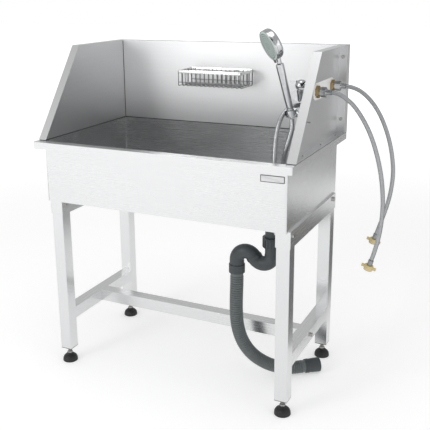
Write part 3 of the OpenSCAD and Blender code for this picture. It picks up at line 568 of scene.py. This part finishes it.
plated = Finish("bright_plating", Metallic=1.0)
smudge = plated.noise((220, 220, 220))
plated.set(Base_Color=plated.mix(smudge, (0.30, 0.30, 0.29), (0.58, 0.58, 0.56)),
           Roughness=0.18 + 0.2 * smudge)
for node in ("panel_bolts", "panel_screws"):
    rounded(node, plated, 0.0004)

# Blank plate: a silver-white face inside a thin dark edge, stuck on the front wall.
plate_edge = Finish("plate_dark_edge", Base_Color=(0.03, 0.03, 0.03))
plate_edge.set(Roughness=0.4 + 0.1 * plate_edge.noise((200, 200, 200)))
name_plate = rounded("name_plate", plate_edge, 0.0004)
plate_face = Finish("plate_silver_face", Metallic=0.6)
satin = plate_face.noise((20, 600, 600))
plate_face.set(Base_Color=plate_face.mix(satin, (0.62, 0.62, 0.63), (0.78, 0.78, 0.79)), Roughness=0.35)
name_plate.data.materials.append(plate_face.material)
bpy.ops.object.mode_set(mode="EDIT")
bpy.ops.mesh.select_all(action="DESELECT")
bpy.ops.object.mode_set(mode="OBJECT")
min(name_plate.data.polygons, key=lambda face: face.normal.y * face.area).select = True
bpy.ops.object.mode_set(mode="EDIT")
bpy.context.tool_settings.mesh_select_mode = (False, False, True)
bpy.ops.mesh.inset(thickness=0.0015, depth=-0.0002)
bpy.context.object.active_material_index = 1
bpy.ops.object.material_slot_assign()
bpy.ops.object.mode_set(mode="OBJECT")

# ---------------------------------------------------------------- Stand
# Square stainless tube, 40 mm, under two folded channels welded to the basin. The
# lower rails and the stretcher are closed tubes held by hidden and visible bolts.
sheet_along_y = brushed("sheet_grain_along_y", ALONG_Y, LIGHT, DARK, 0.27)
sheet_along_z = brushed("sheet_grain_along_z", ALONG_Z, LIGHT, DARK, 0.24)
CORNERS = ("front_left", "front_right", "back_left", "back_right")
for node in ("left_support_rail", "right_support_rail", "left_lower_rail", "right_lower_rail"):
    rounded(node, sheet_along_y, 0.0012)
rounded("stretcher", sheet_along_x, 0.0012)
for corner in CORNERS:
    rounded("leg_" + corner, sheet_along_z, 0.0012)
rounded("frame_bolts", plated, 0.0005)

# ---------------------------------------------------------------- Feet
# Black moulded pads swivel under plated M12 studs; a lock nut under each plugged
# leg holds the height that the stud's hexagon collar was turned to.
moulded = Finish("black_moulding")
grain = moulded.noise((1400, 1400, 1400))
moulded.set(Base_Color=moulded.mix(grain, (0.008, 0.008, 0.009), (0.022, 0.022, 0.024)),
            Roughness=0.42 + 0.2 * grain)
moulded.bump(grain, 0.2, 0.0002)
rounded("leg_inserts", moulded, 0.0005)
rounded("foot_lock_nuts", plated, 0.0006)


def joined(name, pieces):
    """Joins pieces into one mesh at the origin."""
    bpy.ops.object.select_all(action="DESELECT")
    for piece in pieces:
        piece.select_set(True)
    bpy.context.view_layer.objects.active = pieces[0]
    bpy.ops.object.convert(target="MESH")
    bpy.ops.object.join()
    whole = bpy.context.object
    whole.name = name
    bpy.ops.object.transform_apply(location=True, rotation=True, scale=True)
    return whole


THREAD_PITCH = 1.75
THREAD_FROM, SHANK_RADIUS = 35, 5.4
COLLAR_RADIUS, COLLAR_DEPTH, COLLAR_MIDDLE = 0.0097, 0.005, 0.0305
for corner in CORNERS:
    pad_low, pad_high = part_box("pad_" + corner)
    stud_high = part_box("stud_" + corner)[1]
    under = Matrix.Translation(((pad_low.x + pad_high.x) / 2, (pad_low.y + pad_high.y) / 2, 0))
    pad = lathe("pad_bell_" + corner, [
        (0, 0), (20, 0), (20.6, 0.8), (22.4, 0.8), (23, 0), (24.2, 0), (25, 0.8), (25, 4.6), (24.4, 5.6),
        (24.6, 8), (23.6, 12), (21.6, 15.6), (18.6, 18.8), (15.2, 21), (12.4, 22.4), (11.2, 23.8),
        (10.8, 26.6), (10, 27.6), (6.2, 27.6), (6.2, 24), (0, 24)], 64, under)
    wear(pad, moulded)
    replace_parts(pad, "pad_" + corner)
    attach(pad, body_of["pad_" + corner])
    tooth = [(6, 0), (6, 0.2), (5.15, 0.85), (5.15, 1.05)]
    stud_top = stud_high.z * 1000
    turns = int((stud_top - THREAD_FROM - 1) / THREAD_PITCH)
    outline = [(0, 6.2), (SHANK_RADIUS, 6.2), (SHANK_RADIUS, THREAD_FROM - 1)]
    outline += [(r, THREAD_FROM + turn * THREAD_PITCH + z) for turn in range(turns) for r, z in tooth]
    outline += [(5.2, stud_top - 0.4), (4.6, stud_top), (0, stud_top)]
    stud = lathe("threaded_stud_" + corner, outline, 24, under)
    bpy.ops.mesh.primitive_cylinder_add(
        vertices=6, radius=COLLAR_RADIUS, depth=COLLAR_DEPTH,
        location=(under.translation.x, under.translation.y, COLLAR_MIDDLE))
    collar = bpy.context.object
    dress = collar.modifiers.new("round", "BEVEL")
    dress.width, dress.segments = 0.0006, 3
    stud = joined("threaded_stud_" + corner, [stud, collar])
    bpy.ops.object.shade_smooth_by_angle(angle=SMOOTH_BELOW)
    wear(stud, plated)
    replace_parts(stud, "stud_" + corner)
    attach(stud, body_of["stud_" + corner])

# ---------------------------------------------------------------- Basket
# Stainless wire, 3 mm, bent into U shapes and welded inside a flat band; three
# thinner runners tie the floor wires, and two screws hold the band to the panel.
# Painted shade: the wire's base colour is set far darker than the same stainless sheet, so the wires read
# dark against the panel.
wire = Finish("wire_painted_shade", Metallic=1.0)
shine = wire.noise((400, 400, 400))
wire.set(Base_Color=wire.mix(shine, (0.16, 0.16, 0.165), (0.34, 0.34, 0.345)),
         Roughness=0.14 + 0.12 * shine)
# Painted highlight: the band's base colour is set near white, brighter than the same stainless sheet.
flat_strip = Finish("flat_strip_painted_highlight", Metallic=1.0)
sheen = flat_strip.noise((6, 300, 300))
flat_strip.set(Base_Color=flat_strip.mix(sheen, (0.84, 0.84, 0.84), (0.95, 0.95, 0.95)),
               Roughness=0.16 + 0.1 * sheen)
basket_low, basket_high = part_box("wire_basket")
WIRE_RADIUS = 0.0015
BAND_HEIGHT, BAND_SHEET, BAND_CORNER = 0.010, 0.0018, 0.004
BEND = 0.005
RUNNER_LIFT = 0.012
FRONT_BAYS, SIDE_BAYS = 14, 4


def bent_wire(name, corners, radius=WIRE_RADIUS):
    """Round wire through the corners, each corner bent round, as a curve."""
    line = []
    for i, corner in enumerate(corners):
        corner = Vector(corner)
        if i in (0, len(corners) - 1):
            line.append(corner)
            continue
        before = (Vector(corners[i - 1]) - corner).normalized() * BEND
        after = (Vector(corners[i + 1]) - corner).normalized() * BEND
        for k in range(5):
            t = k / 4
            line.append(corner + before * (1 - t) ** 2 + after * t ** 2)
    curve = bpy.data.curves.new(name, "CURVE")
    curve.dimensions = "3D"
    curve.bevel_depth = radius
    curve.bevel_resolution = 2
    curve.use_fill_caps = True
    run = curve.splines.new("POLY")
    run.points.add(len(line) - 1)
    for point, spot in zip(run.points, line):
        point.co = (*spot, 1)
    piece = bpy.data.objects.new(name, curve)
    bpy.context.collection.objects.link(piece)
    return piece


left, near, low = basket_low + Vector((WIRE_RADIUS, WIRE_RADIUS, WIRE_RADIUS))
right_end, far, high = basket_high - Vector((WIRE_RADIUS, WIRE_RADIUS, 0.002))
wires = []
for i in range(FRONT_BAYS + 1):
    x = left + (right_end - left) * i / FRONT_BAYS
    wires.append(bent_wire("floor_wire", [(x, near, high), (x, near, low),
                                          (x, far, low), (x, far, high)]))
for j in range(1, SIDE_BAYS):
    y = near + (far - near) * j / SIDE_BAYS
    over = low + 1.8 * WIRE_RADIUS
    wires.append(bent_wire("side_wire", [(left, y, high), (left, y, over), (right_end, y, over),
                                         (right_end, y, high)]))
for y in (near, far):
    wires.append(bent_wire("edge_wire", [(left, y, low + RUNNER_LIFT), (right_end, y, low + RUNNER_LIFT)],
                           WIRE_RADIUS * 0.8))
basket = joined("wire_basket_wires", wires)
bpy.ops.object.shade_smooth_by_angle(angle=math.radians(40))
wear(basket, wire)
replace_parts(basket, "wire_basket")
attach(basket, "tub")

# Flat band: a strip bent round the wires' tops, its edges dressed round.
middle = (basket_low + basket_high) / 2
bpy.ops.mesh.primitive_cube_add(size=1, location=(middle.x, middle.y, basket_high.z - BAND_HEIGHT / 2))
band = bpy.context.object
band.name = "wire_basket_band"
band.scale = (basket_high.x - basket_low.x, basket_high.y - basket_low.y, BAND_HEIGHT)
bpy.ops.object.transform_apply(location=True, rotation=True, scale=True)
bpy.ops.object.mode_set(mode="EDIT")
bpy.ops.mesh.select_all(action="DESELECT")
bpy.ops.object.mode_set(mode="OBJECT")
for face in band.data.polygons:
    face.select = abs(face.normal.z) > 0.5
bpy.ops.object.mode_set(mode="EDIT")
bpy.ops.mesh.delete(type="FACE")
bpy.ops.object.mode_set(mode="OBJECT")
for name, kind, settings in (
        ("corners", "BEVEL", {"width": BAND_CORNER, "segments": 4, "limit_method": "ANGLE"}),
        ("strip", "SOLIDIFY", {"thickness": BAND_SHEET, "offset": -1}),
        ("edges", "BEVEL", {"width": 0.0004, "segments": 2, "limit_method": "ANGLE"})):
    step = band.modifiers.new(name, kind)
    for key, value in settings.items():
        setattr(step, key, value)
    bpy.ops.object.modifier_apply(modifier=name)
bpy.ops.object.shade_smooth_by_angle(angle=math.radians(30))
wear(band, flat_strip)
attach(band, "tub")

# ---------------------------------------------------------------- Tap
# A chrome-plated brass casting with union nuts on offset inlet tails, a lever on a
# plastic cartridge, and an outlet elbow. Its tails pass through the white plate and
# the panel, where brass lock nuts clamp them.
chrome = Finish("chrome_plate", Metallic=1.0)
haze = chrome.noise((90, 90, 90))
chrome.set(Base_Color=chrome.mix(haze, (0.46, 0.47, 0.48), (0.64, 0.65, 0.66)),
           Roughness=0.04 + 0.06 * haze)
for node in ("mixer_body", "union_nuts", "mixer_inlets", "mixer_lever", "outlet_elbow", "mixer_hose_nut",
             "swivel_nut_front", "swivel_nut_back"):
    rounded(node, chrome, 0.0008)
cartridge = Finish("grey_cartridge", Base_Color=(0.06, 0.06, 0.065))
cartridge.set(Roughness=0.4 + 0.2 * cartridge.noise((300, 300, 300)))
rounded("cartridge_stem", cartridge, 0.0004)
gloss_white = Finish("white_moulding")
cloud = gloss_white.noise((40, 40, 40))
gloss_white.set(Base_Color=gloss_white.mix(cloud, (0.80, 0.80, 0.79), (0.88, 0.88, 0.87)),
                Roughness=0.28 + 0.1 * cloud)
rounded("backing_plate", gloss_white, 0.0008)
brass = Finish("machined_brass", Metallic=1.0)
patina = brass.noise((160, 160, 160))
brass.set(Base_Color=brass.mix(patina, (0.26, 0.18, 0.08), (0.56, 0.43, 0.24)),
          Roughness=0.25 + 0.2 * patina)
rounded("brass_lock_nuts", brass, 0.0008)

# ---------------------------------------------------------------- Hand shower
# A chrome handle screwed into a flat round head. The pale plate on its face turns
# by a small tab to change the spray, and the cone under the handle sits in the holder.
rounded("shower_holder", chrome, 0.0008)
HANDLE_FOOT, HANDLE_TURN, HANDLE_LEAN = (0.3436, -0.062, 0.8966), math.radians(225), math.radians(15)
FACE_CENTRE, FACE_TILT = (0.0217, 0, 0.1892), math.radians(100)
in_hand = (Matrix.Translation(HANDLE_FOOT) @ Matrix.Rotation(HANDLE_TURN, 4, "Z")
           @ Matrix.Rotation(HANDLE_LEAN, 4, "Y"))
on_face = in_hand @ Matrix.Translation(FACE_CENTRE) @ Matrix.Rotation(FACE_TILT, 4, "Y")
handle = lathe("shower_handle", [
    (0, 0.1), (8.6, 0.1), (9.4, 0.8), (9.6, 3), (9.9, 20), (10.6, 60), (11.2, 104), (11.5, 124), (11.5, 128),
    (11.1, 130.4), (9.6, 131.8), (7.8, 132.2), (6.5, 133.4), (6.5, 155.5), (0, 155.5)], 64, in_hand)
wear(handle, chrome)
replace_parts(handle, "handset_handle")
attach(handle, "handset")
cone = lathe("shower_cone_nut", [
    (0, -29.9), (7.6, -29.9), (8.1, -29.2), (8.4, -26), (10.4, -6), (10.7, -3.4), (10.4, -3), (10.4, -2.4),
    (10.9, -2), (10.9, -0.6), (10.4, 0), (0, 0)], 64, in_hand)
wear(cone, chrome)
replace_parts(cone, "handset_hose_nut")
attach(cone, "handset")
head = lathe("shower_head", [
    (0, -26), (31, -26), (36, -25.6), (40, -24.2), (43, -21.8), (44.6, -18.8), (45, -16), (45, -8),
    (44.6, -7.4), (44.1, -7.2), (44.1, -6.4), (44.6, -6.2), (45, -5.6), (45, -1.4), (44.6, -0.4),
    (44, 0), (43.6, -0.4), (43.5, -3), (9.1, -3.1), (9.1, -12), (0, -12)], 96, on_face)
wear(head, chrome)
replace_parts(head, "handset_head")
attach(head, "handset")

spray = Finish("pale_spray_plate")
milk = spray.noise((120, 120, 120))
spray.set(Base_Color=spray.mix(milk, (0.50, 0.58, 0.55), (0.62, 0.69, 0.66)),
          Roughness=0.3 + 0.15 * milk)
rubber = Finish("soft_nozzles", Roughness=0.6)
bloom = rubber.noise((200, 200, 200))
rubber.set(Base_Color=rubber.mix(bloom, (0.12, 0.16, 0.15), (0.20, 0.25, 0.24)))
plate = lathe("spray_face", [
    (0, -11), (8.9, -11), (8.9, -2.9), (42.6, -2.9), (43, -2.5), (43, -0.7), (42.4, -0.2), (40.5, 0),
    (40, -0.5), (39, -0.5), (38.5, 0), (14.5, 0.3), (14, -0.3), (13, -0.3), (12.5, 0.3), (0, 0.4)], 96)
NOZZLE_RINGS = ((0.006, 8), (0.010, 12), (0.018, 16), (0.024, 22), (0.030, 28), (0.036, 34))
tips = []
for ring, count in NOZZLE_RINGS:
    for i in range(count):
        turn = 2 * math.pi * i / count
        bpy.ops.mesh.primitive_cone_add(vertices=8, radius1=0.0014, radius2=0.0009, depth=0.0018,
                                        location=(ring * math.cos(turn), ring * math.sin(turn), 0.001))
        tips.append(bpy.context.object)
nozzles = joined("spray_nozzles", tips)
nozzles.data.transform(on_face)
TAB_MIDDLE, TAB_SIZE = (0.0445, 0, -0.0016), (0.015, 0.0095, 0.0028)
bpy.ops.mesh.primitive_cube_add(size=1, location=TAB_MIDDLE)
tab = bpy.context.object
tab.scale = TAB_SIZE
dress = tab.modifiers.new("round", "BEVEL")
dress.width, dress.segments = 0.0012, 4
bpy.ops.object.select_all(action="DESELECT")
tab.select_set(True)
bpy.context.view_layer.objects.active = tab
bpy.ops.object.convert(target="MESH")
bpy.ops.object.transform_apply(location=True, rotation=True, scale=True)
tab.name = "spray_tab"
tab.data.transform(on_face)
plate.data.transform(on_face)
dark_tab = Finish("dark_tab_moulding", Base_Color=(0.05, 0.055, 0.055))
dark_tab.set(Roughness=0.35 + 0.15 * dark_tab.noise((300, 300, 300)))
for piece, finish in ((plate, spray), (nozzles, rubber), (tab, dark_tab)):
    wear(piece, finish)
    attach(piece, "spray_face")
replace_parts(plate, "spray_plate")

# ---------------------------------------------------------------- Waste
# A chromed outlet and lift-out strainer clamp the basin's dish. Under it a moulded
# trap hangs from a slip nut with grip ribs, and its collar grips the ribbed hose.
rounded("drain_flange", chrome, 0.0004)
rounded("drain_strainer", sheet_along_x, 0.0004)
for node in ("tailpiece", "trap_bend", "trap_arch"):
    rounded(node, pipe, 0.0007)
nut_low, nut_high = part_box("drain_nuts")
nut_axis = Matrix.Translation(((nut_low.x + nut_high.x) / 2, (nut_low.y + nut_high.y) / 2, 0))


def ribbed_nut(name, inner, outer, bottom, height, ribs):
    """Moulded ring nut with upright grip ribs, sizes in millimetres."""
    top = bottom + height
    ring = lathe(name, [
        (inner, bottom), (outer - 3, bottom), (outer - 2.2, bottom + 1), (outer - 2, top - 4),
        (outer - 0.4, top - 3), (outer, top - 2.4), (outer, top - 0.6), (outer - 0.6, top),
        (inner, top), (inner, bottom)], 64)
    parts = [ring]
    for i in range(ribs):
        turn = 2 * math.pi * i / ribs
        out = (outer - 2.4) / 1000
        bpy.ops.mesh.primitive_cube_add(size=1, rotation=(0, 0, turn), location=(
            out * math.cos(turn), out * math.sin(turn), (bottom + height / 2 - 1.6) / 1000))
        rib = bpy.context.object
        rib.scale = (0.0044, 0.0028, (height - 5) / 1000)
        soften = rib.modifiers.new("round", "BEVEL")
        soften.width, soften.segments = 0.0008, 2
        parts.append(rib)
    nut = joined(name, parts)
    bpy.ops.object.shade_smooth_by_angle(angle=SMOOTH_BELOW)
    nut.data.transform(nut_axis)
    wear(nut, pipe)
    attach(nut, "tub")
    return nut


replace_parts(ribbed_nut("slip_nut", 22.6, 30.5, 484, 32, 18), "drain_nuts")
ribbed_nut("outlet_lock_nut", 26, 35, 566, 9.8, 12)
